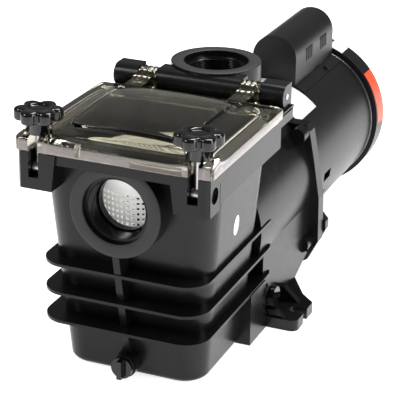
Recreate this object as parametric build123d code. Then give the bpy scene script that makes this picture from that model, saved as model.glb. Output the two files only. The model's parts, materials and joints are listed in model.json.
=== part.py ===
from build123d import *

import os
from math import cos, radians, sin

# A self-priming pool pump: strainer pot, volute and electric motor on one line.
# Frame: +Z up, +Y from the suction port towards the motor, +X to the right of the pot.
# Origin: on the floor, in the middle of the pot's flat base.
# Millimetres throughout.

# ---- driving dimensions ----
AXIS_Z = 109.0            # height of the motor shaft over the floor
FLANGE_TOP = 233.0        # seat of the lid
FLANGE_LOW = 202.0        # lower edge of the deep side skirts
FLANGE_HALF = 97.0        # half the width of the pot's top flange
LID_HALF = 100.0
LID_FRONT = -107.0
LID_BACK = 80.0
LID_LOW = 233.4
LID_EDGE = 245.0          # top of the lid's straight skirt
PORT_RADIUS = 47.0        # outside of both port collars
THREAD_RADIUS = 30.15     # 2 inch pipe thread
MOUTH_RADIUS = 33.4       # plain recess in front of the thread
THROAT_RADIUS = 27.0      # plain bore behind the thread
SUCTION_THREAD = 18.0
DISCHARGE_THREAD = 27.0
SUCTION_FACE = -100.0
SUCTION_Z = 185.5
DISCHARGE_Y = 146.5
DISCHARGE_TOP = 261.0
HINGE_Y = 105.5
HINGE_Z = 247.3
PIN_RADIUS = 3.0
BOLT_X = 80.5             # swing bolts, left and right of the middle
BOLT_Y = -93.0
PIVOT_Z = 215.0
PIVOT_RADIUS = 2.5
SLOT_WIDTH = 10.4
EAR_RADIUS = 34.0         # the lid's ears are crowned about the pivot pins
KNOB_LOW = 249.3
KNOB_RADIUS = 24.0
BARREL_RADIUS = 85.0
CHAMBER_RADIUS = 80.0
CHAMBER_FRONT = 80.0
RIM_RADIUS = 87.5
RIM_FRONT = 222.0
GASKET_OUTER = 85.5
GASKET_INNER = 82.2
PLATE_FRONT = 230.0       # seal plate, between the volute and the motor
PLATE_BACK = 238.0
# right half of the flange that holds the volute and the seal plate together, as (x, z)
FLANGE_CORNERS = [(76, 176), (80, 169), (87, 133), (93.6, 93), (94.7, 42), (79, 24)]
LUG_PLACES = [(71, 167), (80, 42), (-80, 42), (-71, 167)]
LUG_SIZE = 9.0
PLUG_Y = 92.0             # drain plug on the right of the volute
PLUG_Z = 32.0
SHELL_RADIUS = 85.0
SHELL_BORE = 82.5
SHELL_FRONT = 240.0
SHELL_BACK = 441.0
CAP_RADIUS = 91.0
CAP_FRONT = 444.0
CAP_BACK = 477.0
SHAFT_RADIUS = 8.0
BASKET_Y = -3.0
BASKET_RIM = 206.0
RUNNING_FIT = 0.05        # radial clearance of pins and shafts that turn

# ---- places of screws and of the parts on the motor ----
FOOT_SCREWS = [(-25, 120), (25, 120), (-25, 170), (25, 170)]
THROUGH_RADIUS = 77.0     # motor through-bolts
THROUGH_ANGLES = (40, 130, 220, 310)
CAP_SCREWS = [(-62, 109), (62, 109)]
CONDUIT_PLACE = (-38.0, 58.0)
CAPACITOR_X = 7.0
COVER_HALF = 26.0
COVER_TOP = 245.0
COVER_FRONT = 305.0
COVER_BACK = 435.0
COVER_WALL = 2.0
COVER_SCREWS = [(28.0, 393.0), (-17.5, 360.0)]


# ---- shapes used throughout ----
def block(x0, x1, y0, y1, z0, z1):
    centre = Pos((x0 + x1) / 2, (y0 + y1) / 2, (z0 + z1) / 2)
    return centre * Box(x1 - x0, y1 - y0, z1 - z0)


def rod_y(radius, y0, y1, x=0.0, z=AXIS_Z):
    return Pos(x, (y0 + y1) / 2, z) * Rot(90, 0, 0) * Cylinder(radius, y1 - y0)


def rod_x(radius, x0, x1, y, z):
    return Pos((x0 + x1) / 2, y, z) * Rot(0, 90, 0) * Cylinder(radius, x1 - x0)


def rod_z(radius, z0, z1, x=0.0, y=0.0):
    return Pos(x, y, (z0 + z1) / 2) * Cylinder(radius, z1 - z0)


def ring_y(outer, inner, y0, y1, x=0.0, z=AXIS_Z):
    return rod_y(outer, y0, y1, x, z) - rod_y(inner, y0 - 1, y1 + 1, x, z)


def around_axis(radius, angle):
    """Place (x, z) at a radius from the shaft, the angle taken from straight up towards +X."""
    return radius * sin(radians(angle)), AXIS_Z + radius * cos(radians(angle))


def sector_y(outer, inner, y0, y1, angle0, angle1):
    """Part of a ring about the shaft between two angles from straight up."""
    far = outer * 2
    middle = (angle0 + angle1) / 2
    corners = [(0, AXIS_Z)] + [around_axis(far, a) for a in (angle0, middle, angle1)]
    wedge = prism_y(corners, y0, y1)
    return ring_y(outer, inner, y0, y1) & wedge


def prism_y(corners, y0, y1):
    """Extrude an outline of (x, z) points from y0 to y1."""
    plane = Plane(origin=(0, y0, 0), x_dir=(1, 0, 0), z_dir=(0, 1, 0))
    outline = Polyline(*[(x, -z) for x, z in corners], close=True)
    return extrude(plane * make_face(outline), y1 - y0)


def prism_x(corners, x0, x1):
    """Extrude an outline of (y, z) points from x0 to x1."""
    plane = Plane(origin=(x0, 0, 0), x_dir=(0, 1, 0), z_dir=(1, 0, 0))
    return extrude(plane * make_face(Polyline(*corners, close=True)), x1 - x0)


def slab(x_half, y0, y1, corner, z0, z1):
    """Upright slab with rounded corners, symmetrical about the middle plane."""
    plane = Plane(origin=(0, (y0 + y1) / 2, z0))
    return extrude(plane * RectangleRounded(2 * x_half, y1 - y0, corner), z1 - z0)


def tub(low, high):
    """Tapered tub between two rounded outlines (x_half, y0, y1, corner, z)."""
    faces = []
    for x_half, y0, y1, corner, z in (low, high):
        plane = Plane(origin=(0, (y0 + y1) / 2, z))
        faces.append(plane * RectangleRounded(2 * x_half, y1 - y0, corner))
    return loft(faces, ruled=True)


def both_sides(shape):
    return shape + mirror(shape, about=Plane.YZ)


def prism_z(corners, z0, z1):
    """Extrude an outline of (x, y) points from z0 to z1."""
    plane = Plane(origin=(0, 0, z0))
    return extrude(plane * make_face(Polyline(*corners, close=True)), z1 - z0)


# ---- wet end ----
def pot_outside():
    body = tub((73, -66, 66, 26, 0), (91, -85, 79, 30, FLANGE_LOW + 25))
    base_edges = body.edges().group_by(Axis.Z)[0]
    return fillet(base_edges, 7)


def pot_inside():
    lower = tub((68, -61, 61, 22, 6), (84.5, -78, 72, 26, 214))
    mouth = slab(80, -76, 68, 26, 200, FLANGE_TOP + 1)
    return lower + mouth


def pot_ribs():
    ribs = Part()
    for height in (115, 85, 55):
        ribs += slab(86, -95, 112, 26, height, height + 3)
    gusset = prism_x([(-99, 141), (-70, 141), (-62, 8), (-71, 12)], -3.5, 3.5)
    pedestal = block(66, 87, 36, 78, 0, 56) + block(66, 87, 70, 82, 0, 20)
    return ribs + gusset + both_sides(pedestal)


def top_flange():
    plate = slab(FLANGE_HALF, LID_FRONT + 3, 119, 6, 223, FLANGE_TOP)
    ledge = block(-FLANGE_HALF + 1, FLANGE_HALF - 1, LID_BACK + 1.5, 119, FLANGE_TOP, 235.5)
    skirt = block(86, FLANGE_HALF, -80, LID_BACK, FLANGE_LOW, FLANGE_TOP)
    outline = [(57.5, FLANGE_TOP), (62, 196.4), (FLANGE_HALF, 196.4), (FLANGE_HALF, FLANGE_TOP)]
    corner = prism_y(outline, LID_FRONT + 0.5, -78)
    corner = chamfer(corner.edges().filter_by(Axis.Z).group_by(Axis.X)[-1], 3)
    gusset = prism_x([(60, 224), (117, 224), (82, 202), (60, 202)], 80, 86)
    return plate + ledge + both_sides(skirt + corner + gusset)


def hinge_bar():
    round_front = rod_x(11.75, -93, 93, HINGE_Y, HINGE_Z)
    flat_back = block(-93, 93, HINGE_Y, 119, 235, 259)
    foot = block(-93, 93, 98, 119, 235, HINGE_Z)
    return round_front + flat_back + foot


def joint_flange(y0, y1):
    """Round flange with four corners for the bolts."""
    left = [(-x, z) for x, z in reversed(FLANGE_CORNERS)]
    return rod_y(RIM_RADIUS, y0, y1) + prism_y(FLANGE_CORNERS + left, y0, y1)


def volute_outside():
    barrel = rod_y(BARREL_RADIUS, 66, RIM_FRONT)
    rim = joint_flange(RIM_FRONT, PLATE_FRONT)
    neck = rod_z(41, 150, 240, 0, DISCHARGE_Y)
    collar = rod_z(PORT_RADIUS, 234, DISCHARGE_TOP, 0, DISCHARGE_Y)
    web = block(-30, 30, 82, 112, 180, 236)
    body = barrel + rim + neck + collar + web
    for x, z in LUG_PLACES:
        body += rod_y(LUG_SIZE, 206, RIM_FRONT + 1, x, z)
    skirt = prism_x([(82, 12), (185, 12), (RIM_FRONT + 1, 26), (RIM_FRONT + 1, 88), (82, 88)], 74, 82)
    return body + both_sides(skirt)


def drain_bosses():
    front = rod_y(12.5, -80, -60, 0, 15)
    side = rod_x(12, 20, 84, PLUG_Y, PLUG_Z)
    return front + side


def clevis_cuts():
    slot = block(BOLT_X - SLOT_WIDTH / 2, BOLT_X + SLOT_WIDTH / 2, -112, -84, 208, 240)
    hole = rod_x(PIVOT_RADIUS, 60, 100, BOLT_Y, PIVOT_Z)
    recess = rod_x(8, FLANGE_HALF - 3, 100, BOLT_Y, PIVOT_Z)
    return both_sides(slot + hole + recess)


def strainer_housing():
    body = pot_outside() + pot_ribs() + top_flange() + hinge_bar()
    body += volute_outside() + drain_bosses()
    body += rod_y(PORT_RADIUS, SUCTION_FACE, -70, 0, SUCTION_Z)
    body -= pot_inside()
    body -= rod_y(CHAMBER_RADIUS, CHAMBER_FRONT, PLATE_FRONT + 1)
    body -= ring_y(GASKET_OUTER, GASKET_INNER, 227.5, PLATE_FRONT + 1)
    body -= rod_y(27, 60, CHAMBER_FRONT + 1)
    body += rod_y(36, -80, -69, 0, SUCTION_Z)
    body -= rod_y(MOUTH_RADIUS, SUCTION_FACE - 1, SUCTION_FACE + 5, 0, SUCTION_Z)
    body -= rod_y(THREAD_RADIUS, SUCTION_FACE, SUCTION_FACE + 5 + SUCTION_THREAD, 0, SUCTION_Z)
    body -= rod_y(THROAT_RADIUS, SUCTION_FACE, -60, 0, SUCTION_Z)
    body -= rod_z(MOUTH_RADIUS, DISCHARGE_TOP - 6, DISCHARGE_TOP + 1, 0, DISCHARGE_Y)
    body -= rod_z(THREAD_RADIUS, DISCHARGE_TOP - 6 - DISCHARGE_THREAD, DISCHARGE_TOP, 0, DISCHARGE_Y)
    body -= rod_z(THROAT_RADIUS, 150, DISCHARGE_TOP, 0, DISCHARGE_Y)
    body -= clevis_cuts()
    body -= both_sides(block(45.8, 66.8, 90, 120, 235.5, 262))
    body -= rod_x(PIN_RADIUS, -100, 100, HINGE_Y, HINGE_Z)
    body -= slab(88, -84.5, 76.5, 32, 230, 234) - slab(83, -79.5, 71.5, 28, 229, 235)
    body -= rod_y(7, -81, -50, 0, 15)
    body -= rod_x(7, 50, 85, PLUG_Y, PLUG_Z)
    for x, z in LUG_PLACES:
        body -= rod_y(4.2, 210, PLATE_FRONT + 1, x, z)
    for x, y in FOOT_SCREWS:
        body -= rod_z(2.5, 10, 30, x, y)
    return body


def lid_arch(rise):
    """Solid under the lid's domed top, raised or lowered by an offset."""
    length_rise = 13.0
    width_rise = 14.0
    y_half = (LID_BACK - LID_FRONT) / 2
    y_mid = (LID_BACK + LID_FRONT) / 2
    radius_1 = (y_half**2 + length_rise**2) / (2 * length_rise)
    radius_2 = (LID_HALF**2 + width_rise**2) / (2 * width_rise)
    along_x = rod_x(radius_1 + rise, -120, 120, y_mid, LID_EDGE + length_rise - radius_1)
    along_y = rod_y(radius_2 + rise, -140, 120, 0, LID_EDGE + width_rise - radius_2)
    return along_x & along_y


def lid():
    outline = slab(LID_HALF, LID_FRONT, LID_BACK, 5, LID_LOW, 275)
    body = outline & lid_arch(0)
    window = slab(60, -74, 46, 14, 240, 275)
    body += window & lid_arch(2.5)
    ear_top = rod_x(EAR_RADIUS, 64, LID_HALF - 1, BOLT_Y, PIVOT_Z)
    ear = ear_top & block(64, LID_HALF - 1, LID_FRONT, -70, LID_LOW, 260)
    body += both_sides(ear)
    strap_outline = [(80.2, 236.5), (HINGE_Y, 236.4), (HINGE_Y, 258.2), (99, 256.2), (80, 252.4),
                     (62, 252.8), (47, 254.6), (47, 249), (72, 243)]
    strap = prism_x(strap_outline, 46.6, 66)
    knuckle = rod_x(11, 46.6, 66, HINGE_Y, HINGE_Z)
    body += both_sides(strap + knuckle)
    body -= slab(86, -90, 66, 22, LID_LOW - 1, 275) & lid_arch(-5)
    body -= rod_x(PIN_RADIUS + RUNNING_FIT, -100, 100, HINGE_Y, HINGE_Z)
    slot_end = rod_z(SLOT_WIDTH / 2, 225, 260, BOLT_X, BOLT_Y + 1)
    slot = block(BOLT_X - SLOT_WIDTH / 2, BOLT_X + SLOT_WIDTH / 2, -110, BOLT_Y + 1, 225, 260)
    knob_seat = rod_z(14.5, KNOB_LOW - 0.3, 275, BOLT_X, BOLT_Y)
    body -= both_sides(slot + slot_end + knob_seat)
    return body


def lid_gasket():
    ring = slab(88, -84.5, 76.5, 32, 230, 233.1) - slab(83, -79.5, 71.5, 28, 229, 235)
    return ring


def hinge_pin():
    return rod_x(PIN_RADIUS, -92.5, 93.5, HINGE_Y, HINGE_Z)


def pivot_pin(side):
    pin = rod_x(PIVOT_RADIUS, 60, FLANGE_HALF - 3, BOLT_Y, PIVOT_Z)
    return on_side(pin, side)


def on_side(shape, side):
    return shape if side > 0 else mirror(shape, about=Plane.YZ)


def swing_bolt(side):
    eye = rod_x(6.5, BOLT_X - 4.5, BOLT_X + 4.5, BOLT_Y, PIVOT_Z)
    shank = rod_z(4, PIVOT_Z + 4, 268, BOLT_X, BOLT_Y)
    bolt = eye + shank
    bolt -= rod_x(PIVOT_RADIUS + RUNNING_FIT, 60, 100, BOLT_Y, PIVOT_Z)
    return on_side(bolt, side)


def knob(side):
    hub = rod_z(13, KNOB_LOW, 263, BOLT_X, BOLT_Y)
    star = rod_z(18.5, 262, 274, BOLT_X, BOLT_Y)
    for lobe in range(6):
        angle = radians(22 + 60 * lobe)
        reach = KNOB_RADIUS - 6.5
        x = BOLT_X + reach * cos(angle)
        y = BOLT_Y + reach * sin(angle)
        star += rod_z(6.5, 262, 274, x, y)
    body = hub + star
    body -= rod_z(6, KNOB_LOW - 1, 270, BOLT_X, BOLT_Y)
    return on_side(body, side)


def knob_insert(side):
    insert = rod_z(6, KNOB_LOW, 270, BOLT_X, BOLT_Y)
    insert -= rod_z(4 + RUNNING_FIT, KNOB_LOW - 1, 271, BOLT_X, BOLT_Y)
    return on_side(insert, side)


def strainer_basket():
    standing = (Align.CENTER, Align.CENTER, Align.MIN)
    outer = Pos(0, BASKET_Y, 14) * Cone(56, 64, BASKET_RIM - 14, align=standing)
    inner = Pos(0, BASKET_Y, 17) * Cone(53.5, 61.8, BASKET_RIM - 16, align=standing)
    rim = rod_z(69, BASKET_RIM - 3, BASKET_RIM, 0, BASKET_Y)
    foot = rod_z(50, 6, 15, 0, BASKET_Y) - rod_z(46, 5, 15, 0, BASKET_Y)
    ears = both_sides(block(56, 62.5, BASKET_Y - 5, BASKET_Y + 5, 194, BASKET_RIM))
    body = outer + rim + foot - inner + ears
    body -= rod_x(2 + RUNNING_FIT, -63, 63, BASKET_Y, 200)
    return body


def basket_handle():
    """Wire bail, stored flat; its two ends turn in the basket's ears."""
    half_span = 53.0
    reach = 43.0
    arc = ThreePointArc((-half_span, BASKET_Y, 200), (0, BASKET_Y + reach, 200), (half_span, BASKET_Y, 200))
    section = Plane(origin=arc @ 0, z_dir=arc % 0) * Circle(2)
    wire = sweep(section, path=arc)
    ends = rod_x(2, half_span - 2, 61, BASKET_Y, 200)
    return wire + both_sides(ends)


def drain_plug():
    stem = rod_y(6.9, -81, -62.5, 0, 15)
    head = rod_y(11, -87, -83, 0, 15)
    wing = block(-2.5, 2.5, -93, -87, 5.5, 24.5)
    return stem + rod_y(7.5, -84, -81, 0, 15) + head + wing


def drain_plug_seal():
    return ring_y(10.5, 7.5, -82.7, -80.3, 0, 15)


def volute_plug():
    stem = rod_x(6.9, 52, 85, PLUG_Y, PLUG_Z)
    head = rod_x(11, 87, 94, PLUG_Y, PLUG_Z)
    return stem + rod_x(7.5, 84, 88, PLUG_Y, PLUG_Z) + head


def volute_plug_seal():
    return rod_x(10.5, 84.3, 86.7, PLUG_Y, PLUG_Z) - rod_x(7.5, 80, 95, PLUG_Y, PLUG_Z)


def diffuser():
    tube = ring_y(26.5, 22.5, 66, 160)
    front = ring_y(70, 27, 160, 164)
    sleeve = ring_y(30, 27, 160, 168)
    wall = ring_y(70, 67, 160, RIM_FRONT)
    throat = ring_y(30, 22.5, 156, 160)
    body = tube + throat + front + sleeve + wall
    for turn in range(8):
        window = Pos(0, 196, AXIS_Z) * Rot(0, 45 * turn, 0) * Pos(0, 0, 68) * Box(22, 26, 12)
        body -= window
    return body


def diffuser_ring():
    return ring_y(27, 23.8, 161, 168)


def impeller():
    back = ring_y(56, 6, 192, 196)
    front = ring_y(56, 20, 174, 178)
    eye = ring_y(23.4, 20, 162, 178)
    hub = ring_y(11, 6, 180, 200)
    body = back + front + eye + hub
    for vane in range(6):
        blade = Pos(0, 185, AXIS_Z) * Rot(0, 60 * vane, 0) * Pos(10, 0, 36) * Rot(0, 28, 0)
        body += blade * Box(3, 16, 34)
    return body


def impeller_screw():
    return rod_y(8, 174, 180) + rod_y(3, 179, 196)


def seal_plate():
    body = joint_flange(PLATE_FRONT, PLATE_BACK) + rod_y(79.5, RIM_FRONT, PLATE_FRONT)
    body += rod_y(27, 216, RIM_FRONT + 1)
    for x, z in LUG_PLACES:
        body -= rod_y(4, PLATE_FRONT - 1, PLATE_BACK + 1, x, z)
    for angle in THROUGH_ANGLES:
        x, z = around_axis(THROUGH_RADIUS, angle)
        body -= rod_y(2.5, PLATE_FRONT + 2, PLATE_BACK + 1, x, z)
    body -= rod_y(17, 215, 222) + rod_y(9.5, 210, 240)
    return body


def seal_seat():
    return ring_y(17, 9.2, 216, 222)


def seal_head():
    return ring_y(15, SHAFT_RADIUS, 208, 215.9)


def seal_spring():
    """Coil that presses the turning seal face against its seat."""
    coil = Helix(pitch=2.6, height=5.2, radius=13)
    section = Plane(origin=coil @ 0, z_dir=coil % 0) * Circle(0.8)
    return Pos(0, 207.1, AXIS_Z) * Rot(90, 0, 0) * sweep(section, path=coil)


def housing_gasket():
    return ring_y(GASKET_OUTER, GASKET_INNER, 227.5, PLATE_FRONT)


def housing_bolts():
    bolts = Part()
    for x, z in LUG_PLACES:
        head = Pos(x, PLATE_BACK + 5.5, z) * Rot(90, 0, 0) * extrude(RegularPolygon(6.5, 6), 5.5)
        bolts += head + rod_y(4, 212, PLATE_BACK + 1, x, z)
    return bolts


def slinger():
    return ring_y(14, SHAFT_RADIUS, 240, 243)


# ---- support ----
def support_foot():
    base = slab(120, 83, 193, 8, 0, 12)
    base -= both_sides(prism_z([(77, 194), (104, 150), (121, 134), (130, 134), (130, 194)], -1, 13))
    slot = block(108, 125, 105, 117, -1, 30) + rod_z(6, -1, 30, 108, 111)
    rib = block(62, 70, 118, 190, 11, 40)
    rib += prism_y([(82, 11), (108, 11), (90, 28), (82, 28)], 126, 134)
    rib += prism_y([(82, 11), (106, 11), (97, 19.5), (82, 19.5)], 86, 92)
    cradle = block(-40, 40, 106, 190, 11, 34)
    tail = block(-60, 60, 188, 250, 0, 10)
    leg = prism_y([(-60, 0), (60, 0), (77, 10), (97, 50), (97, 60), (88, 70)]
                  + [(-88, 70), (-97, 60), (-97, 50), (-77, 10)], 240, 250)
    for x, z in LUG_PLACES:
        leg -= rod_y(8, 239, 251, x, z)
    body = base + both_sides(rib) + cradle + tail + leg
    body -= both_sides(slot)
    body -= rod_y(BARREL_RADIUS, 60, RIM_FRONT) + rod_y(RIM_RADIUS, RIM_FRONT - 1, PLATE_BACK + 1)
    body -= rod_y(SHELL_RADIUS, PLATE_BACK, 260)
    for x, y in FOOT_SCREWS:
        body -= rod_z(3, -1, 40, x, y) + rod_z(6, -1, 7, x, y)
    return body


def foot_screws():
    screws = Part()
    for x, y in FOOT_SCREWS:
        screws += rod_z(5.5, 3, 7, x, y) + rod_z(2.5, 6, 29, x, y)
    return screws


# ---- motor ----
def motor_shell():
    body = ring_y(SHELL_RADIUS, SHELL_BORE, SHELL_FRONT, SHELL_BACK)
    for angle in (96, 114, 132, 150, 210, 228, 246, 264):
        body -= sector_y(90, 75, 266, 288, angle - 3.5, angle + 3.5)
    for angle, y in COVER_SCREWS:
        body -= radial_rod(2, 80, 90, angle, y)
    return body


def front_bell():
    body = rod_y(SHELL_BORE, SHELL_FRONT, 250) + rod_y(80, PLATE_BACK, SHELL_FRONT + 1)
    body += rod_y(26, 249, 262)
    body -= rod_y(18, 237, 245) + rod_y(20, 250, 263) + rod_y(9.5, 236, 255)
    for angle in THROUGH_ANGLES:
        x, z = around_axis(THROUGH_RADIUS, angle)
        body -= rod_y(2.6, 236, 252, x, z)
    return body


def rear_bell():
    body = rod_y(SHELL_BORE, 431, SHELL_BACK) + rod_y(86, SHELL_BACK, CAP_FRONT)
    body += rod_y(26, 408, 432)
    body -= rod_y(20, 407, 423) + rod_y(9.5, 400, 450)
    for angle in THROUGH_ANGLES:
        x, z = around_axis(THROUGH_RADIUS, angle)
        body -= rod_y(2.6, 430, 450, x, z)
    for x, z in CAP_SCREWS:
        body -= rod_y(2, 430, 450, x, z)
    return body


def through_bolts():
    bolts = Part()
    for angle in THROUGH_ANGLES:
        x, z = around_axis(THROUGH_RADIUS, angle)
        bolts += rod_y(2.5, PLATE_FRONT + 2, 445, x, z) + rod_y(5, CAP_FRONT, 448, x, z)
    return bolts


def stator_core():
    body = ring_y(72, 40.5, 288, 382)
    for slot in range(24):
        opening = Pos(0, 335, AXIS_Z) * Rot(0, 15 * slot, 0) * Pos(0, 0, 52) * Box(4.5, 100, 16)
        body -= opening
    return body


def windings():
    body = ring_y(67, 45, 268, 288) + ring_y(67, 45, 382, 402)
    for slot in range(24):
        body += Pos(0, 335, AXIS_Z) * Rot(0, 15 * slot, 0) * Pos(0, 0, 52) * Box(4.5, 94, 16)
    return body


def rotor_core():
    return ring_y(40, 12, 290, 380) + ring_y(38, 12, 284, 386)


def shaft():
    body = rod_y(6, 182, 203) + rod_y(SHAFT_RADIUS, 202, 455) + rod_y(12, 262, 410)
    body += rod_y(8.5, 249, 263) + rod_y(8.5, 409, 423)
    body -= rod_y(3, 180, 196)
    return body


def bearing(y0):
    return ring_y(20, 8.5 + RUNNING_FIT, y0, y0 + 12)


def wave_washer():
    return ring_y(19, 14, 422, 423)


def governor():
    return ring_y(12, SHAFT_RADIUS, 445.5, 453) + ring_y(20, 12, 449, 453)


def start_switch():
    return sector_y(58, 28, CAP_FRONT, 448, 150, 210)


def terminal_board():
    return block(-30, 30, CAP_FRONT, 447, 150, 172) + block(-24, 24, 446, 453, 156, 166)


def cooling_fan():
    body = ring_y(18, 12, 391, 403)
    for blade in range(9):
        body += Pos(0, 397, AXIS_Z) * Rot(0, 40 * blade, 0) * Pos(0, 0, 28) * Rot(0, 0, 30) * Box(2, 10, 22)
    return body


def end_cap():
    body = rod_y(CAP_RADIUS, CAP_FRONT, CAP_BACK)
    body = fillet(body.edges().group_by(Axis.Y)[-1], 7)
    body -= rod_y(CAP_RADIUS - 3, CAP_FRONT - 1, CAP_BACK - 3)
    body += ring_y(CAP_RADIUS - 2, 84, CAP_FRONT, CAP_FRONT + 3)
    for x, z in CAP_SCREWS:
        body -= rod_y(2.2, 470, 480, x, z)
    body -= rod_y(10.5, 470, 480, CONDUIT_PLACE[0], CONDUIT_PLACE[1])
    return body


def conduit_plug():
    x, z = CONDUIT_PLACE
    return rod_y(10.5, 470, CAP_BACK, x, z) + rod_y(13, CAP_BACK, CAP_BACK + 3, x, z)


def end_cap_screws():
    screws = Part()
    for x, z in CAP_SCREWS:
        screws += rod_y(2, 433, CAP_BACK + 1, x, z) + rod_y(4.5, CAP_BACK, CAP_BACK + 3, x, z)
    return screws


# ---- starting capacitor on top of the motor ----
def arch(half, y0, y1, low):
    centre = COVER_TOP - COVER_HALF
    return rod_y(half, y0, y1, CAPACITOR_X, centre) + block(
        CAPACITOR_X - half, CAPACITOR_X + half, y0, y1, low, centre)


def capacitor_cover():
    body = arch(COVER_HALF, COVER_FRONT, COVER_BACK, 170)
    body -= arch(COVER_HALF - COVER_WALL, COVER_FRONT + 2, COVER_BACK - 2, 160)
    right = sector_y(SHELL_RADIUS + 2, SHELL_RADIUS, COVER_FRONT, COVER_BACK, 22.5, 31)
    left = sector_y(SHELL_RADIUS + 2, SHELL_RADIUS, COVER_FRONT, COVER_BACK, -21, -12.5)
    body = body - rod_y(SHELL_RADIUS, 300, 440) + right + left
    for angle, y in COVER_SCREWS:
        body -= radial_rod(2, 80, 95, angle, y)
    return body


def radial_rod(radius, inner, outer, angle, y):
    rod = Pos(0, 0, (inner + outer) / 2) * Cylinder(radius, outer - inner)
    return Pos(0, y, AXIS_Z) * Rot(0, angle, 0) * rod


def cover_screws():
    screws = Part()
    for angle, y in COVER_SCREWS:
        screws += radial_rod(2, SHELL_BORE, SHELL_RADIUS + 2, angle, y)
        screws += radial_rod(4, SHELL_RADIUS + 2, SHELL_RADIUS + 4.2, angle, y)
    return screws


def capacitor():
    body = rod_y(19, 318, 420, CAPACITOR_X, 216)
    for x in (CAPACITOR_X - 7, CAPACITOR_X + 7):
        body += block(x - 3, x + 3, 419, 428, 215.6, 216.4)
    return body


def capacitor_strap():
    band = ring_y(20.5, 19, 360, 374, CAPACITOR_X, 216)
    feet = block(CAPACITOR_X - 2, CAPACITOR_X + 2, 360, 374, 190, 197)
    return band + feet - rod_y(SHELL_RADIUS, 350, 380) - rod_y(19, 350, 380, CAPACITOR_X, 216)


# ---- blank plates ----
def rating_label():
    return sector_y(SHELL_RADIUS + 0.25, SHELL_RADIUS, 244, 302, -8, 44.5)


def cap_label():
    return sector_y(CAP_RADIUS + 0.25, CAP_RADIUS, CAP_FRONT + 0.5, 469.5, 16, 27.9)


def safety_label():
    return sector_y(CAP_RADIUS + 0.25, CAP_RADIUS, 447, 469.5, 51, 92)


def inspection_dot():
    """Small oval sticker on the pot's right wall."""
    plane = Plane(origin=(75, -6, 150), x_dir=(0, 1, 0), z_dir=(1, 0, 0))
    core = extrude(plane * Ellipse(6.5, 10.5), 20)
    skin = offset_tub(0.25) - offset_tub(0)
    return (core & skin)


def offset_tub(gap):
    low = (73 + gap, -66 - gap, 66 + gap, 26, 0)
    high = (91 + gap, -85 - gap, 79 + gap, 30, FLANGE_LOW + 25)
    return tub(low, high)


def main():
    os.makedirs("parts", exist_ok=True)
    nodes = {
        "strainer_housing": strainer_housing(),
        "lid": lid(),
        "lid_gasket": lid_gasket(),
        "hinge_pin": hinge_pin(),
        "strainer_basket": strainer_basket(),
        "basket_handle": basket_handle(),
        "drain_plug": drain_plug(),
        "drain_plug_seal": drain_plug_seal(),
        "volute_plug": volute_plug(),
        "volute_plug_seal": volute_plug_seal(),
        "diffuser": diffuser(),
        "diffuser_ring": diffuser_ring(),
        "impeller": impeller(),
        "impeller_screw": impeller_screw(),
        "seal_plate": seal_plate(),
        "seal_seat": seal_seat(),
        "seal_head": seal_head(),
        "seal_spring": seal_spring(),
        "housing_gasket": housing_gasket(),
        "housing_bolts": housing_bolts(),
        "slinger": slinger(),
        "support_foot": support_foot(),
        "foot_screws": foot_screws(),
        "motor_shell": motor_shell(),
        "front_bell": front_bell(),
        "rear_bell": rear_bell(),
        "through_bolts": through_bolts(),
        "stator_core": stator_core(),
        "windings": windings(),
        "rotor_core": rotor_core(),
        "shaft": shaft(),
        "front_bearing": bearing(250),
        "rear_bearing": bearing(410),
        "wave_washer": wave_washer(),
        "governor": governor(),
        "start_switch": start_switch(),
        "terminal_board": terminal_board(),
        "cooling_fan": cooling_fan(),
        "end_cap": end_cap(),
        "conduit_plug": conduit_plug(),
        "end_cap_screws": end_cap_screws(),
        "capacitor_cover": capacitor_cover(),
        "cover_screws": cover_screws(),
        "capacitor": capacitor(),
        "capacitor_strap": capacitor_strap(),
        "rating_label": rating_label(),
        "cap_label": cap_label(),
        "safety_label": safety_label(),
        "inspection_dot": inspection_dot(),
    }
    for name, side in (("left", -1), ("right", 1)):
        nodes[f"{name}_pivot_pin"] = pivot_pin(side)
        nodes[f"{name}_swing_bolt"] = swing_bolt(side)
        nodes[f"{name}_knob"] = knob(side)
        nodes[f"{name}_knob_insert"] = knob_insert(side)
    for name, shape in nodes.items():
        export_step(shape, f"parts/{name}.step")
        print(name, round(shape.volume), "mm3")


main()
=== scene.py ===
import bpy
import bmesh
import json
from math import cos, pi, radians, sin, sqrt
from mathutils import Matrix, Vector


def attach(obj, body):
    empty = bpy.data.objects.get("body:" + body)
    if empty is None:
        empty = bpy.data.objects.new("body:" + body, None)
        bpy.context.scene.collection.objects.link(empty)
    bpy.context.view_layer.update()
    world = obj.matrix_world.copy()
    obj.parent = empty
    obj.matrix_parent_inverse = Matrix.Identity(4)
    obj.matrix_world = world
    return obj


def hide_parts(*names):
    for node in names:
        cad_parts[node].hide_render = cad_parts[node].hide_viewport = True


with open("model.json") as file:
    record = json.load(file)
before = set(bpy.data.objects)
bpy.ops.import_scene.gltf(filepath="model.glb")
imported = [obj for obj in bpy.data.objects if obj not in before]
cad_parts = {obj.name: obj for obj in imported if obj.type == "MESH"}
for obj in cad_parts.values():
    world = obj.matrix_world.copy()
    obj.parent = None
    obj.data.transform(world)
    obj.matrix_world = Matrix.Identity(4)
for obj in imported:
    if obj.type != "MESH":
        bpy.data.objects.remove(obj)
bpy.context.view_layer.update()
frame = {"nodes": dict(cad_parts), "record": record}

# Sizes are in millimetres, in the CAD frame. metres() turns a point into Blender's units.
MM = 0.001
SIDES = ((-1, "left"), (1, "right"))
CORNER_STEPS = 8
SIDE_STEPS = 16
BUMP_METRES = 0.0002

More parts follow.
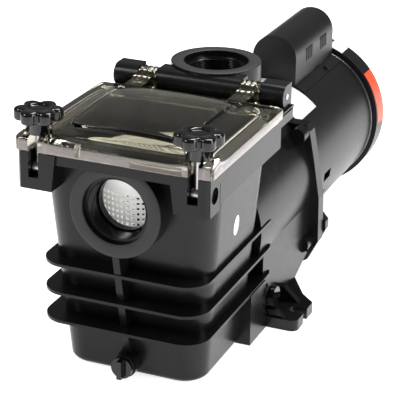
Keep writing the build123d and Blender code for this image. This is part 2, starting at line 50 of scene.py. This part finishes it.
# ---- lid ----
LID_HALF = 99.9
LID_FRONT = -106.6
LID_BACK = 79.9
LID_LOW = 233.4
LID_EDGE = 245.0
LID_CORNER = 5.0
LID_WALL = 5.0
LID_SMOOTH = 50
SKIRT_DEPTH = 0.6
SKIRT_TOP = LID_EDGE + 2.5
DOME_RISE = 15.0
DOME_POWER = 2.4
WINDOW_Y = -14.0
WINDOW_HALF = 62.0
WINDOW_CORNER = 15.0
WINDOW_RISE = 2.5
CAVITY_HALF = 85.5
CAVITY_FRONT = -89.5
CAVITY_BACK = 65.5
CAVITY_CORNER = 22.0

# ---- swing bolts, and the lid's ears and slots around them ----
BOLT_X = 80.5
BOLT_Y = -93.0
PIVOT_Z = 215.0
EAR_RADIUS = 34.0
EAR_INSIDE = 61.0
EAR_OUTSIDE = 65.0
SLOT_HALF = 5.2
SLOT_MOUTH = -112.0
SLOT_MIDDLE = -100.0
SLOT_END = BOLT_Y + 1
SLOT_LOW = 225.0
SLOT_HIGH = 262.0
SLOT_STEPS = 12

# ---- straps that run from the lid's top to the hinge ----
HINGE_Y = 105.5
HINGE_Z = 247.3
KNUCKLE_RADIUS = 11.0
KNUCKLE_STEPS = 14
STRAP_X = 56.3
STRAP_HALF = 9.5
STRAP_DOME_X = 56.0
RIDGE_HEIGHT = 0.8
RIDGE_HALF = 0.9
RIDGE_SPACING = 5.8

# ---- knobs ----
KNOB_LOW = 249.3
KNOB_TOP = 273.95
BORE_TOP = 269.0
DISH_MIDDLE = 272.6
KNOB_REACH = 23.2
KNOB_VALLEY = 17.6
KNOB_POINTS = 150
KNOB_TURN = radians(22)
LOBE_COUNT = 6
LOBE_RADIUS = 7.6

# ---- ports ----
SUCTION_FACE = -100.0
SUCTION_Z = 185.5
SUCTION_RECESS = 5.0
SUCTION_LENGTH = 17.8
DISCHARGE_Y = 146.5
DISCHARGE_TOP = 261.0
DISCHARGE_RECESS = 6.0
DISCHARGE_LENGTH = 26.8
COLLAR_OUTER = 46.6
COLLAR_INNER = 33.7
THREAD_ROOT = 30.0
THREAD_BACK = 30.8
THREAD_DEPTH = 1.5
THREAD_FADE = 1.5
THREAD_PITCH = 2.2
THREAD_STEPS = 96
ROWS_PER_TURN = 6

# ---- motor ----
AXIS_Z = 109.0
SHELL_END = 441.0
CAPACITOR_X = 7.0
COVER_HALF = 26.0
LOUVRE_Z = 216.0
LOUVRE_PITCH = 6.0
LOUVRE_GROUPS = (341.0, 391.0)
LOUVRE_STEPS = 16
LOUVRE_BLUNT = 0.35

# ---- basket ----
BASKET_Y = -3.0
BASKET_FLOOR = 14.0
BASKET_WALL = 1.8
BASKET_RADIUS = 56.0
BASKET_FLARE = 8.0
BASKET_HEIGHT = 192.0
BASKET_COLUMNS = 72
HOLES_LOW = 18.0
HOLES_HIGH = 190.0
HOLE_ROWS = 31
HOLE_SHARE = 0.62
STRIP_EVERY = 12
STRIP_COLUMN = 9

# ---- camera: its place in metres, its lens in millimetres ----
CAMERA_PLACE = Vector((0.6035, -1.3635, 0.7775))
CAMERA_AZIMUTH = radians(22.3)
CAMERA_ELEVATION = radians(22.5)
CAMERA_ROLL = radians(0.9)
CAMERA_LENS = 147.8

# ---- studio, in metres and watts: name, place, target, size, power ----
LIGHTS = (
    ("left_box", (-1.3, -1.1, 1.7), (0, 0.1, 0.1), (0.6, 1.0), 22),
    ("right_box", (1.7, -0.1, 0.8), (0, 0.2, 0.1), (0.45, 1.3), 19),
    ("top_box", (0.2, 0.9, 1.9), (0, 0.2, 0.1), (1.4, 0.6), 34),
)
WORLD_STRENGTH = 0.16
FLOOR_HALF = 6.0
FLOOR_GLOW = 0.8

# ---- CAD nodes whose edges are eased, each with the width of its bevel ----
WELD_METRES = 0.00001
EASED_ANGLE = 30
EASED = {
    "strainer_housing": 0.7,
    "support_foot": 0.9,
    "motor_shell": 0.3,
    "rear_bell": 0.5,
    "end_cap": 0.5,
    "capacitor_cover": 1.2,
    "drain_plug": 0.7,
    "volute_plug": 0.7,
    "housing_bolts": 0.4,
    "cover_screws": 0.4,
    "through_bolts": 0.3,
    "end_cap_screws": 0.3,
    "conduit_plug": 0.4,
    "left_swing_bolt": 0.4,
    "right_swing_bolt": 0.4,
    "left_pivot_pin": 0.3,
    "right_pivot_pin": 0.3,
    "hinge_pin": 0.4,
}


# ---- materials ----
def link(tree, source, out, target, into):
    tree.links.new(source.outputs[out], target.inputs[into])


def noise_node(tree, coordinates, scale, detail):
    noise = tree.nodes.new("ShaderNodeTexNoise")
    noise.inputs["Scale"].default_value = scale
    noise.inputs["Detail"].default_value = detail
    link(tree, coordinates, "Object", noise, "Vector")
    return noise


def make_material(name, dark, light, rough, patch=18, grain=700, bump=0.12, **sockets):
    """Material whose colour, gloss and surface vary a little over the object."""
    material = bpy.data.materials.new(name)
    material.use_nodes = True
    tree = material.node_tree
    shader = tree.nodes["Principled BSDF"]
    coordinates = tree.nodes.new("ShaderNodeTexCoord")

    ramp = tree.nodes.new("ShaderNodeValToRGB")
    ramp.color_ramp.elements[0].position = 0.3
    ramp.color_ramp.elements[0].color = (*dark, 1)
    ramp.color_ramp.elements[1].position = 0.7
    ramp.color_ramp.elements[1].color = (*light, 1)
    link(tree, noise_node(tree, coordinates, patch, 4), "Fac", ramp, "Fac")
    link(tree, ramp, "Color", shader, "Base Color")

    gloss = tree.nodes.new("ShaderNodeMapRange")
    gloss.inputs["To Min"].default_value = rough[0]
    gloss.inputs["To Max"].default_value = rough[1]
    link(tree, noise_node(tree, coordinates, patch * 5, 3), "Fac", gloss, "Value")
    link(tree, gloss, "Result", shader, "Roughness")

    surface = tree.nodes.new("ShaderNodeBump")
    surface.inputs["Strength"].default_value = bump
    surface.inputs["Distance"].default_value = BUMP_METRES
    link(tree, noise_node(tree, coordinates, grain, 2), "Fac", surface, "Height")
    link(tree, surface, "Normal", shader, "Normal")

    for socket, value in sockets.items():
        shader.inputs[socket.replace("_", " ")].default_value = value
    return material


def make_metals():
    return {
        "steel": make_material(
            "plated_steel", (0.42, 0.42, 0.42), (0.6, 0.6, 0.6), (0.2, 0.4), Metallic=1.0),
        "chrome": make_material(
            "bright_steel", (0.68, 0.68, 0.68), (0.8, 0.8, 0.8), (0.06, 0.14), bump=0.03, Metallic=1.0),
        "brass": make_material(
            "brass", (0.55, 0.36, 0.12), (0.7, 0.5, 0.2), (0.2, 0.35), Metallic=1.0),
        "aluminium": make_material(
            "cast_aluminium", (0.5, 0.5, 0.5), (0.66, 0.66, 0.66), (0.3, 0.5), grain=400, bump=0.3,
            Metallic=1.0),
        "core_steel": make_material(
            "core_steel", (0.2, 0.2, 0.21), (0.32, 0.32, 0.33), (0.35, 0.55), Metallic=1.0),
        "copper": make_material(
            "copper_wire", (0.45, 0.16, 0.05), (0.6, 0.26, 0.1), (0.25, 0.4), Metallic=1.0),
    }


def make_black_materials():
    return {
        "housing_plastic": make_material(
            "moulded_black", (0.004, 0.004, 0.0045), (0.008, 0.008, 0.009), (0.2, 0.3), grain=900, bump=0.3,
            Specular_IOR_Level=0.27),
        "rough_plastic": make_material(
            "rough_black", (0.012, 0.012, 0.012), (0.02, 0.02, 0.02), (0.5, 0.62), grain=1100, bump=1.0),
        "knob_plastic": make_material(
            "glossy_black", (0.002, 0.002, 0.002), (0.004, 0.004, 0.004), (0.05, 0.1), bump=0.03,
            Coat_Weight=0.1, Coat_Roughness=0.03),
        "motor_paint": make_material(
            "painted_black", (0.006, 0.006, 0.007), (0.01, 0.01, 0.011), (0.3, 0.34), patch=6, grain=350,
            bump=0.1, Specular_IOR_Level=0.3),
        "rubber": make_material(
            "black_rubber", (0.01, 0.01, 0.01), (0.018, 0.018, 0.018), (0.5, 0.7)),
        "carbon": make_material(
            "carbon", (0.02, 0.02, 0.02), (0.04, 0.04, 0.04), (0.3, 0.5)),
        "impeller_plastic": make_material(
            "impeller_plastic", (0.03, 0.03, 0.03), (0.05, 0.05, 0.05), (0.3, 0.5)),
    }


def make_clear_materials():
    return {
        "clear_lid": make_material(
            "smoky_clear", (0.79, 0.76, 0.6), (0.85, 0.82, 0.67), (0.01, 0.035), bump=0.02,
            Transmission_Weight=1.0, IOR=1.49),
        "light_clear": make_material(
            "light_clear", (0.93, 0.91, 0.78), (0.97, 0.95, 0.85), (0.03, 0.08), bump=0.05,
            Transmission_Weight=1.0, IOR=1.46),
        # Same lid plastic, but lighter, mauve and less clear: a painted highlight on the lid's skirt.
        "skirt_painted_highlight": make_material(
            "skirt_painted_highlight", (0.74, 0.65, 0.66), (0.84, 0.77, 0.7), (0.03, 0.1), patch=25, bump=0.05,
            Transmission_Weight=0.72, IOR=1.46),
    }


def make_pale_materials():
    return {
        # The emission here is painted light: the white plastic glows a little, though the basket is no
        # lamp.
        "white_plastic": make_material(
            "white_plastic", (0.86, 0.86, 0.84), (0.93, 0.93, 0.91), (0.3, 0.42),
            Emission_Color=(1, 1, 0.98, 1), Emission_Strength=0.22),
        "ceramic": make_material(
            "ceramic", (0.75, 0.73, 0.68), (0.85, 0.83, 0.78), (0.15, 0.3)),
        "label_white": make_material(
            "label_white", (0.84, 0.85, 0.86), (0.9, 0.91, 0.92), (0.28, 0.4), bump=0.03),
        "label_orange": make_material(
            "label_orange", (0.85, 0.07, 0.025), (0.9, 0.1, 0.035), (0.3, 0.42), bump=0.03),
    }


# The record's slots, and three looks that only some pieces have: rough_plastic, light_clear, and the
# skirt's lighter copy of the lid plastic, which is a painted highlight.
materials = {**make_metals(), **make_black_materials(), **make_clear_materials(), **make_pale_materials()}


# ---- mesh helpers ----
def metres(point):
    return Vector(point) * MM


def settled_mesh(name, shape):
    bmesh.ops.recalc_face_normals(shape, faces=shape.faces)
    mesh = bpy.data.meshes.new(name)
    shape.to_mesh(mesh)
    shape.free()
    return mesh


def join_rings(shape, low, high, gaps=()):
    """Quads between two rings of vertices, left out at the columns in gaps."""
    count = len(low)
    for k in range(count):
        if k not in gaps:
            after = (k + 1) % count
            shape.faces.new((low[k], low[after], high[after], high[k]))


def mesh_of_rings(name, rings, ends=None, closed=False):
    """Skin over rings of points that all have the same count.

    ends are the two points that close the first and the last ring. closed joins the last ring to
    the first.
    """
    shape = bmesh.new()
    rows = [[shape.verts.new(metres(p)) for p in ring] for ring in rings]
    for low, high in zip(rows, rows[1:]):
        join_rings(shape, low, high)
    if closed:
        join_rings(shape, rows[-1], rows[0])
    if ends:
        for row, place in zip((rows[0], rows[-1]), ends):
            peak = shape.verts.new(metres(place))
            for k, vertex in enumerate(row):
                shape.faces.new((vertex, row[(k + 1) % len(row)], peak))
    return settled_mesh(name, shape)


def prism(name, outline, x0, x1):
    """Outline of (y, z) points extruded along X."""
    shape = bmesh.new()
    rows = [[shape.verts.new(metres((x, y, z))) for y, z in outline] for x in (x0, x1)]
    join_rings(shape, *rows)
    for row in rows:
        shape.faces.new(row)
    return settled_mesh(name, shape)


def shade(mesh, angle):
    mesh.shade_smooth()
    mesh.set_sharp_from_angle(angle=radians(angle))


def put(name, mesh, slot, body, nodes=(), smooth=35, look=None):
    """New piece on a body. It has the slot's material, or the one named by look."""
    piece = bpy.data.objects.new(name, mesh)
    bpy.context.collection.objects.link(piece)
    mesh.materials.append(materials[look or slot])
    shade(mesh, smooth)
    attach(piece, body)
    if nodes:
        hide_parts(*nodes)
    return piece


def bevel(piece, width, angle=35):
    modifier = piece.modifiers.new("edge", "BEVEL")
    modifier.width = width * MM
    modifier.segments = 2
    modifier.limit_method = "ANGLE"
    modifier.angle_limit = radians(angle)


def cut_away(piece, cutter_mesh):
    cutter = bpy.data.objects.new("cutter", cutter_mesh)
    bpy.context.collection.objects.link(cutter)
    modifier = piece.modifiers.new("cut", "BOOLEAN")
    modifier.operation = "DIFFERENCE"
    modifier.solver = "EXACT"
    modifier.object = cutter
    settled = bpy.data.meshes.new_from_object(piece.evaluated_get(bpy.context.evaluated_depsgraph_get()))
    piece.modifiers.remove(modifier)
    old = piece.data
    piece.data = settled
    bpy.data.meshes.remove(old)
    bpy.data.objects.remove(cutter)


def smooth_step(low, high, value):
    t = min(max((value - low) / (high - low), 0.0), 1.0)
    return t * t * (3 - 2 * t)


def circle(radius, z, count, x, y):
    turns = [2 * pi * k / count for k in range(count)]
    return [(x + radius * cos(a), y + radius * sin(a), z) for a in turns]


def rounded_ring(half, y0, y1, corner, z):
    """Rectangle with round corners, x from -half to half and y from y0 to y1."""
    centres = [
        (half - corner, y1 - corner, 0),
        (corner - half, y1 - corner, 90),
        (corner - half, y0 + corner, 180),
        (half - corner, y0 + corner, 270),
    ]
    points = []
    for k, (x, y, start) in enumerate(centres):
        for step in range(CORNER_STEPS + 1):
            angle = radians(start + 90 * step / CORNER_STEPS)
            points.append(Vector((x + corner * cos(angle), y + corner * sin(angle), z)))
        next_x, next_y, next_start = centres[(k + 1) % 4]
        angle = radians(next_start)
        begin = points[-1]
        end = Vector((next_x + corner * cos(angle), next_y + corner * sin(angle), z))
        for step in range(1, SIDE_STEPS):
            points.append(begin.lerp(end, step / SIDE_STEPS))
    return points


def turned_ring(name, profile, place, axis, count=96):
    """Closed ring from a profile of (radius, along) points about an axis, Y or Z, through place."""
    x, y, z = place
    turns = [2 * pi * k / count for k in range(count)]
    rings = []
    for radius, along in profile:
        if axis == "Y":
            rings.append([(x + radius * cos(a), y + along, z + radius * sin(a)) for a in turns])
        else:
            rings.append([(x + radius * cos(a), y + radius * sin(a), z + along) for a in turns])
    return mesh_of_rings(name, rings, closed=True)


# ---- lid ----
def dome(x, y):
    """Height of the lid's top: a crown all over, and a round ear at each swing bolt."""
    middle = (LID_FRONT + LID_BACK) / 2
    length = (LID_BACK - LID_FRONT) / 2
    across = 1 - min(abs(x) / LID_HALF, 1) ** DOME_POWER
    along = 1 - min(abs(y - middle) / length, 1) ** DOME_POWER
    top = LID_EDGE + DOME_RISE * across * along
    reach = abs(y - BOLT_Y)
    if reach < EAR_RADIUS:
        crown = PIVOT_Z + sqrt(EAR_RADIUS**2 - reach**2)
        share = smooth_step(EAR_INSIDE, EAR_OUTSIDE, abs(x))
        top = max(top, top + (crown - top) * share)
    return top


def draped(ring, lift):
    return [Vector((p.x, p.y, dome(p.x, p.y) + lift)) for p in ring]


def drawn_in(ring, steps, lift):
    """Draped rings that shrink from the ring towards the middle of the window."""
    centre = Vector((0, WINDOW_Y, 0))
    return [draped([p.lerp(centre, step / steps) for p in ring], lift) for step in range(1, steps)]


def lid_outline(inset, corner, z=0.0):
    return rounded_ring(LID_HALF - inset, LID_FRONT + inset, LID_BACK - inset, corner, z)


def window_outline(inset, corner):
    half = WINDOW_HALF - inset
    return rounded_ring(half, WINDOW_Y - half, WINDOW_Y + half, corner, 0)


def cavity_outline(inset, z=0.0):
    return rounded_ring(CAVITY_HALF - inset, CAVITY_FRONT + inset, CAVITY_BACK - inset, CAVITY_CORNER, z)


def lid_rings():
    """Outside of the lid: the skirt, the rounded edge, the crowned top and the raised window."""
    rings = [lid_outline(1, LID_CORNER - 0.5, LID_LOW), lid_outline(0, LID_CORNER, LID_LOW + 1)]
    for inset, drop in ((0, 3.4), (0, 2.4), (0.35, 1.3), (1.1, 0.5), (2.4, 0.1)):
        rings.append(draped(lid_outline(inset, LID_CORNER), -drop))
    edge = lid_outline(4, LID_CORNER + 1)
    window_foot = window_outline(0, WINDOW_CORNER + 1)
    for step in range(17):
        rings.append(draped([a.lerp(b, step / 16) for a, b in zip(edge, window_foot)], 0))
    for inset, lift in ((0.4, 0.3), (1.2, 1.9), (1.8, 2.4), (3, WINDOW_RISE)):
        rings.append(draped(window_outline(inset, WINDOW_CORNER), lift))
    return rings + drawn_in(window_outline(3, WINDOW_CORNER), 12, WINDOW_RISE)


def cavity_rings():
    """Inside of the lid: an upright wall and a ceiling that follows the dome."""
    rings = [cavity_outline(-0.5, LID_LOW)]
    for inset, drop in ((0, 2), (1, 0.8), (3, 0)):
        rings.append(draped(cavity_outline(inset), -LID_WALL - drop))
    return rings + drawn_in(cavity_outline(3), 16, -LID_WALL)


def slot_outline(side, z):
    """Open slot for a swing bolt: a straight mouth in front and a round end behind the bolt."""
    middle = side * BOLT_X
    points = [(middle - SLOT_HALF, SLOT_MOUTH, z), (middle + SLOT_HALF, SLOT_MOUTH, z)]
    for step in range(SLOT_STEPS + 1):
        angle = pi * step / SLOT_STEPS
        points.append((middle + SLOT_HALF * cos(angle), SLOT_END + SLOT_HALF * sin(angle), z))
    return points


def cut_slot(lid, side):
    rings = [slot_outline(side, z) for z in (SLOT_LOW, SLOT_HIGH)]
    ends = [(side * BOLT_X, SLOT_MIDDLE, z) for z in (SLOT_LOW, SLOT_HIGH)]
    cut_away(lid, mesh_of_rings("cutter", rings, ends=ends))


def make_lid():
    rings = list(reversed(lid_rings())) + cavity_rings()
    peak = (0, WINDOW_Y, dome(0, WINDOW_Y) + WINDOW_RISE)
    ceiling = (0, WINDOW_Y, dome(0, WINDOW_Y) - LID_WALL)
    mesh = mesh_of_rings("lid_shell", rings, ends=(peak, ceiling))
    lid = put("lid_shell", mesh, "clear_lid", "lid", ("lid",), smooth=LID_SMOOTH)
    # Faces on the outside of the skirt get the lighter copy of the lid plastic, a painted highlight.
    mesh.materials.append(materials["skirt_painted_highlight"])
    for face in mesh.polygons:
        place = face.center / MM
        outside = abs(place.x) > LID_HALF - SKIRT_DEPTH or place.y < LID_FRONT + SKIRT_DEPTH
        if outside and place.z < SKIRT_TOP:
            face.material_index = 1
    for side, _ in SIDES:
        cut_slot(lid, side)
    shade(lid.data, LID_SMOOTH)


def make_lid_details():
    """Small upright rib, and a thicker stretch low on the right of the lid's front skirt."""
    rib_outline = [(-107, 234.2), (-107, 247.0), (-101, 247.6), (-101, 234.2)]
    step_outline = [(-107, 233.6), (-107, 240.5), (-103, 241.5), (-103, 233.6)]
    rows = (("lid_front_rib", rib_outline, -37.5, -33.0), ("lid_front_step", step_outline, 18.0, 70.0))
    for name, outline, x0, x1 in rows:
        bevel(put(name, prism(name, outline, x0, x1), "clear_lid", "lid", look="light_clear"), 0.6)


# ---- straps ----
def strap_outline(ridge):
    """Side view of a strap: along the lid's top, round the hinge pin and back under the edge."""
    points = [
        (47, dome(STRAP_DOME_X, 47) - 0.5),
        (49, dome(STRAP_DOME_X, 49) + 2.4 + ridge),
        (62, 252.2 + ridge),
        (80, 252.0 + ridge),
        (95, 256.0 + ridge),
    ]
    reach = KNUCKLE_RADIUS + ridge
    for step in range(KNUCKLE_STEPS + 1):
        angle = radians(118 - 225 * step / KNUCKLE_STEPS)
        points.append((HINGE_Y + reach * cos(angle), HINGE_Z + reach * sin(angle)))
    points += [(94, 237.2), (80.3, 237.2), (80.2, 244.0), (70, dome(STRAP_DOME_X, 70) - 1.0)]
    return points


def add_strap_piece(name, x, half, ridge, edge):
    mesh = prism(name, strap_outline(ridge), x - half, x + half)
    bevel(put(name, mesh, "clear_lid", "lid", look="light_clear"), edge)


def make_straps():
    for side, word in SIDES:
        add_strap_piece(f"{word}_lid_strap", side * STRAP_X, STRAP_HALF, 0.0, 0.8)
        for number, shift in enumerate((-RIDGE_SPACING, 0, RIDGE_SPACING)):
            name = f"{word}_strap_rib_{number}"
            add_strap_piece(name, side * (STRAP_X + shift), RIDGE_HALF, RIDGE_HEIGHT, 0.4)


# ---- knobs ----
def star_reach(angle):
    """Radius of the knob's outline: six round lobes with shallow valleys between them."""
    half_lobe = pi / LOBE_COUNT
    offset = (angle - KNOB_TURN + half_lobe) % (2 * half_lobe) - half_lobe
    arm = KNOB_REACH - LOBE_RADIUS
    inside = LOBE_RADIUS**2 - (arm * sin(offset)) ** 2
    lobe = arm * cos(offset) + sqrt(inside) if inside > 0 else 0
    return max(lobe, KNOB_VALLEY)


def star_ring(x, inset, z):
    points = []
    for k in range(KNOB_POINTS):
        angle = 2 * pi * k / KNOB_POINTS
        reach = star_reach(angle) - inset
        points.append((x + reach * cos(angle), BOLT_Y + reach * sin(angle), z))
    return points


def make_knob(side, word):
    """Bored hub, lobes with rounded edges and a shallow dish in the top."""
    x = side * BOLT_X
    hub = [
        (6.0, BORE_TOP), (6.0, KNOB_LOW), (11.6, KNOB_LOW), (12.8, KNOB_LOW + 1.2), (12.9, 260.8),
        (14.2, 261.9),
    ]
    lobes = [
        (2.2, 262.0), (0.9, 262.3), (0.2, 263.2), (0, 264.4), (0, 270.4), (0.3, 272.0), (1.2, 273.2),
        (2.6, 273.7), (4.6, KNOB_TOP),
    ]
    dish = [(11.0, KNOB_TOP), (10.2, 273.4), (9.6, 272.4), (9.0, 272.2), (5.0, 272.5), (1.5, DISH_MIDDLE)]
    rings = [circle(radius, z, KNOB_POINTS, x, BOLT_Y) for radius, z in hub]
    rings += [star_ring(x, inset, z) for inset, z in lobes]
    rings += [circle(radius, z, KNOB_POINTS, x, BOLT_Y) for radius, z in dish]
    ends = ((x, BOLT_Y, BORE_TOP), (x, BOLT_Y, DISH_MIDDLE))
    mesh = mesh_of_rings(f"{word}_star_knob", rings, ends=ends)
    put(f"{word}_star_knob", mesh, "knob_plastic", f"{word}_knob", (f"{word}_knob",), smooth=60)


# ---- ports ----
def thread_mesh(name, turns_to, length):
    """Screw thread that lines a bore. turns_to maps (radius, angle, depth) into the frame."""
    rows = int(length / THREAD_PITCH * ROWS_PER_TURN)
    turns = [2 * pi * k / THREAD_STEPS for k in range(THREAD_STEPS)]
    rings = []
    for row in range(rows + 1):
        depth = length * row / rows
        fade = smooth_step(0, THREAD_FADE, depth) * smooth_step(0, THREAD_FADE, length - depth)
        ring = []
        for k, angle in enumerate(turns):
            phase = (depth / THREAD_PITCH + k / THREAD_STEPS) % 1.0
            crest = 1 - abs(2 * phase - 1)
            ring.append(turns_to(THREAD_ROOT - THREAD_DEPTH * crest * fade, angle, depth))
        rings.append(ring)
    for depth in (length, 0.0):
        rings.append([turns_to(THREAD_BACK, angle, depth) for angle in turns])
    return mesh_of_rings(name, rings, closed=True)


def make_threads():
    def suction(radius, angle, depth):
        y = SUCTION_FACE + SUCTION_RECESS + depth
        return radius * cos(angle), y, SUCTION_Z + radius * sin(angle)

    def discharge(radius, angle, depth):
        z = DISCHARGE_TOP - DISCHARGE_RECESS - depth
        return radius * cos(angle), DISCHARGE_Y + radius * sin(angle), z

    rows = (("suction_thread", suction, SUCTION_LENGTH), ("discharge_thread", discharge, DISCHARGE_LENGTH))
    for name, turns_to, length in rows:
        put(name, thread_mesh(name, turns_to, length), "housing_plastic", "pump")


def make_collar_faces():
    """The flat ends of both port collars are rough from moulding, unlike the walls around them."""
    profile = [
        (COLLAR_INNER, 0.8), (COLLAR_INNER, 0.1), (COLLAR_INNER + 0.5, -0.35), (COLLAR_INNER + 1.3, -0.55),
        (COLLAR_OUTER - 1.8, -0.55), (COLLAR_OUTER - 0.7, -0.3), (COLLAR_OUTER, 0.2), (COLLAR_OUTER, 0.8),
    ]
    upward = [(radius, -along) for radius, along in profile]
    suction = turned_ring("suction_collar_face", profile, (0, SUCTION_FACE, SUCTION_Z), "Y")
    put("suction_collar_face", suction, "housing_plastic", "pump", look="rough_plastic")
    discharge = turned_ring("discharge_collar_face", upward, (0, DISCHARGE_Y, DISCHARGE_TOP), "Z")
    put("discharge_collar_face", discharge, "housing_plastic", "pump", look="rough_plastic")


# ---- motor ----
def make_shell_edge():
    """Bare steel edge of the motor shell, in front of the end cap."""
    profile = [(84.6, -1.4), (85.5, -1.4), (85.7, -0.9), (85.7, -0.3), (85.4, 0), (84.6, 0)]
    edge = turned_ring("motor_shell_edge", profile, (0, SHELL_END, AXIS_Z), "Y", 160)
    put("motor_shell_edge", edge, "steel", "pump")


def louvre_ring(x, y, half, tall):
    """Tall narrow outline with blunt ends, in a plane of constant x."""
    ring = []
    for step in range(LOUVRE_STEPS):
        angle = 2 * pi * step / LOUVRE_STEPS
        upward = tall * sin(angle) / max(abs(sin(angle)), LOUVRE_BLUNT)
        ring.append((x, y + half * cos(angle), LOUVRE_Z + upward))
    return ring


def make_louvres():
    """Short pressed ridges on both flat sides of the capacitor cover, in two groups of four."""
    places = [start + LOUVRE_PITCH * k for start in LOUVRE_GROUPS for k in range(4)]
    for side, word in SIDES:
        wall = CAPACITOR_X + side * (COVER_HALF - 0.2)
        for number, y in enumerate(places):
            rings = []
            for reach, tall in ((0, 7.5), (0.5, 7.4), (0.9, 6.8), (1.0, 6.2)):
                half = 1.25 - 0.9 * reach * reach
                rings.append(louvre_ring(wall + side * reach, y, half, tall))
            ends = ((wall, y, LOUVRE_Z), (wall + side * 1.05, y, LOUVRE_Z))
            name = f"{word}_louvre_{number}"
            put(name, mesh_of_rings(name, rings, ends=ends), "motor_paint", "pump", smooth=60)


# ---- basket ----
def basket_radius(z):
    return BASKET_RADIUS + BASKET_FLARE * (z - BASKET_FLOOR) / BASKET_HEIGHT


def basket_ring(shape, radius, z):
    return [shape.verts.new(metres(p)) for p in circle(radius, z, BASKET_COLUMNS, 0, BASKET_Y)]


def add_hole(shape, corners):
    """Four faces that frame a hole in the middle of the quad between the corners."""
    middle = sum((vertex.co for vertex in corners), Vector()) / 4
    inner = [shape.verts.new(middle + (vertex.co - middle) * HOLE_SHARE) for vertex in corners]
    for a in range(4):
        b = (a + 1) % 4
        shape.faces.new((corners[a], corners[b], inner[b], inner[a]))


def add_basket_wall(shape):
    """Cone with rows of holes, plain bands at both ends and plain upright strips."""
    holes = [HOLES_LOW + (HOLES_HIGH - HOLES_LOW) * k / HOLE_ROWS for k in range(HOLE_ROWS + 1)]
    rings = [basket_ring(shape, basket_radius(z), z) for z in (BASKET_FLOOR, *holes, 197.0, 203.0)]
    for row, (low, high) in enumerate(zip(rings, rings[1:])):
        for k in range(BASKET_COLUMNS):
            after = (k + 1) % BASKET_COLUMNS
            corners = (low[k], low[after], high[after], high[k])
            if 1 <= row <= HOLE_ROWS and k % STRIP_EVERY != STRIP_COLUMN:
                add_hole(shape, corners)
            else:
                shape.faces.new(corners)
    return rings[0], rings[-1]


def add_basket_rim(shape, ring):
    for radius, z in ((66.5, 203.2), (69, 203.4), (69, 206), (63.5, 206)):
        wider = basket_ring(shape, radius, z)
        join_rings(shape, ring, wider)
        ring = wider


def add_basket_floor(shape, ring):
    """Flat floor with two rings of slots."""
    slots = range(1, BASKET_COLUMNS, 3)
    for radius in (50, 40, 30, 20, 10):
        smaller = basket_ring(shape, radius, BASKET_FLOOR)
        join_rings(shape, ring, smaller, slots if radius in (40, 20) else ())
        ring = smaller
    shape.faces.new(ring)


def make_basket():
    shape = bmesh.new()
    bottom, top = add_basket_wall(shape)
    add_basket_rim(shape, top)
    add_basket_floor(shape, bottom)
    mesh = settled_mesh("perforated_basket", shape)
    basket = put("perforated_basket", mesh, "white_plastic", "pump", ("strainer_basket",), smooth=40)
    wall = basket.modifiers.new("wall", "SOLIDIFY")
    wall.thickness = BASKET_WALL * MM
    wall.offset = 0


# ---- CAD nodes ----
def dress_nodes():
    """Material of its slot on every CAD node, and a small bevel on the nodes listed in EASED."""
    slots = {row["node"]: row["material_slot"] for row in frame["record"]["subparts"]}
    for name, node in frame["nodes"].items():
        material = materials[slots[name]]
        if node.material_slots:
            for holder in node.material_slots:
                holder.material = material
        else:
            node.data.materials.append(material)
        if name in EASED:
            weld = node.modifiers.new("weld", "WELD")
            weld.merge_threshold = WELD_METRES
            bevel(node, EASED[name], EASED_ANGLE)
            even = node.modifiers.new("even", "WEIGHTED_NORMAL")
            even.keep_sharp = True


# ---- camera and studio ----
def make_camera():
    back = Vector((
        sin(CAMERA_AZIMUTH) * cos(CAMERA_ELEVATION),
        -cos(CAMERA_AZIMUTH) * cos(CAMERA_ELEVATION),
        sin(CAMERA_ELEVATION),
    ))
    right = Vector((0, 0, 1)).cross(back).normalized()
    up = back.cross(right)
    rolled_right = cos(CAMERA_ROLL) * right + sin(CAMERA_ROLL) * up
    rolled_up = cos(CAMERA_ROLL) * up - sin(CAMERA_ROLL) * right
    data = bpy.data.cameras.new("camera")
    data.lens = CAMERA_LENS
    data.sensor_width = 36
    camera = bpy.data.objects.new("camera", data)
    rotation = Matrix((rolled_right, rolled_up, back)).transposed()
    camera.matrix_world = Matrix.Translation(CAMERA_PLACE) @ rotation.to_4x4()
    bpy.context.collection.objects.link(camera)
    bpy.context.scene.camera = camera


def make_floor():
    """Plain pale floor that glows a little, so that it stays white all round the pump."""
    mesh = bpy.data.meshes.new("floor")
    far = FLOOR_HALF
    mesh.from_pydata([(-far, -far, 0), (far, -far, 0), (far, far, 0), (-far, far, 0)], [], [(0, 1, 2, 3)])
    floor = bpy.data.objects.new("floor", mesh)
    bpy.context.collection.objects.link(floor)
    material = bpy.data.materials.new("floor_white")
    material.use_nodes = True
    shader = material.node_tree.nodes["Principled BSDF"]
    shader.inputs["Base Color"].default_value = (0.93, 0.93, 0.93, 1)
    shader.inputs["Roughness"].default_value = 0.7
    shader.inputs["Emission Color"].default_value = (1, 1, 1, 1)
    shader.inputs["Emission Strength"].default_value = FLOOR_GLOW
    mesh.materials.append(material)


def make_area_light(name, place, target, size, power):
    data = bpy.data.lights.new(name, "AREA")
    data.shape = "RECTANGLE"
    data.size, data.size_y = size
    data.energy = power
    light = bpy.data.objects.new(name, data)
    light.location = place
    light.rotation_euler = (Vector(target) - Vector(place)).to_track_quat("-Z", "Y").to_euler()
    bpy.context.collection.objects.link(light)


def make_studio():
    """Soft boxes in a dim even world. The Standard view keeps whites white and blacks deep."""
    bpy.context.scene.view_settings.view_transform = "Standard"
    world = bpy.data.worlds.new("studio")
    bpy.context.scene.world = world
    world.use_nodes = True
    background = world.node_tree.nodes["Background"]
    background.inputs["Color"].default_value = (1, 1, 1, 1)
    background.inputs["Strength"].default_value = WORLD_STRENGTH
    for row in LIGHTS:
        make_area_light(*row)


dress_nodes()
make_lid()
make_lid_details()
make_straps()
for side, word in SIDES:
    make_knob(side, word)
make_threads()
make_collar_faces()
make_shell_edge()
make_louvres()
make_basket()
make_camera()
make_floor()
make_studio()
